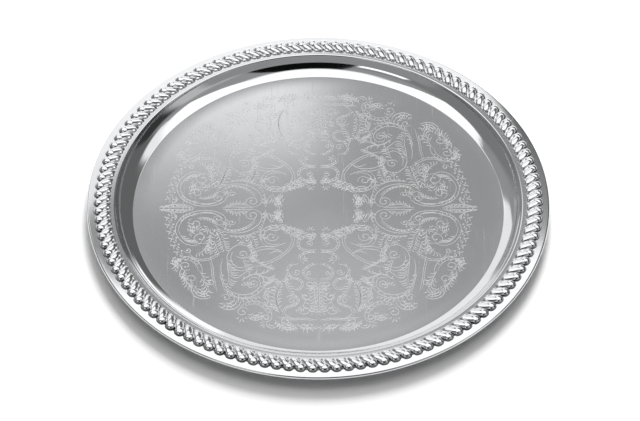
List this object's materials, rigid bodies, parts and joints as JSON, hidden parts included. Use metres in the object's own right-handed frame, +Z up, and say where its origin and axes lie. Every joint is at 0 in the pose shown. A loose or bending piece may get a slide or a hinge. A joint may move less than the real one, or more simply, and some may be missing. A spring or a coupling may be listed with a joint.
{
  "type": "round tray",
  "caption": "Round shallow chrome tray with an engraved floor, a sloping wall and a rope border on its rim, used to pass offerings or serve.",
  "frame": {"origin": "centre of the underside of the floor, on the surface that the tray rests on", "axes": "+Z up along the tray's axis; the tray is round, so X and Y follow the two mirror lines of the engraving"},
  "size_m": [0.305, 0.305, 0.0129],
  "materials": {
    "polished_chrome": "mirror-polished chrome plate on pressed sheet, with a fine frosted engraving on the floor",
    "border_chrome": "bright chrome plate on a die-struck rope border",
    "wire_steel": "drawn steel wire inside the curled edge"
  },
  "bodies": {
    "root": {"pan": "polished_chrome", "gadroon_border": "border_chrome", "rim_wire": "wire_steel"}
  },
  "joints": []
}
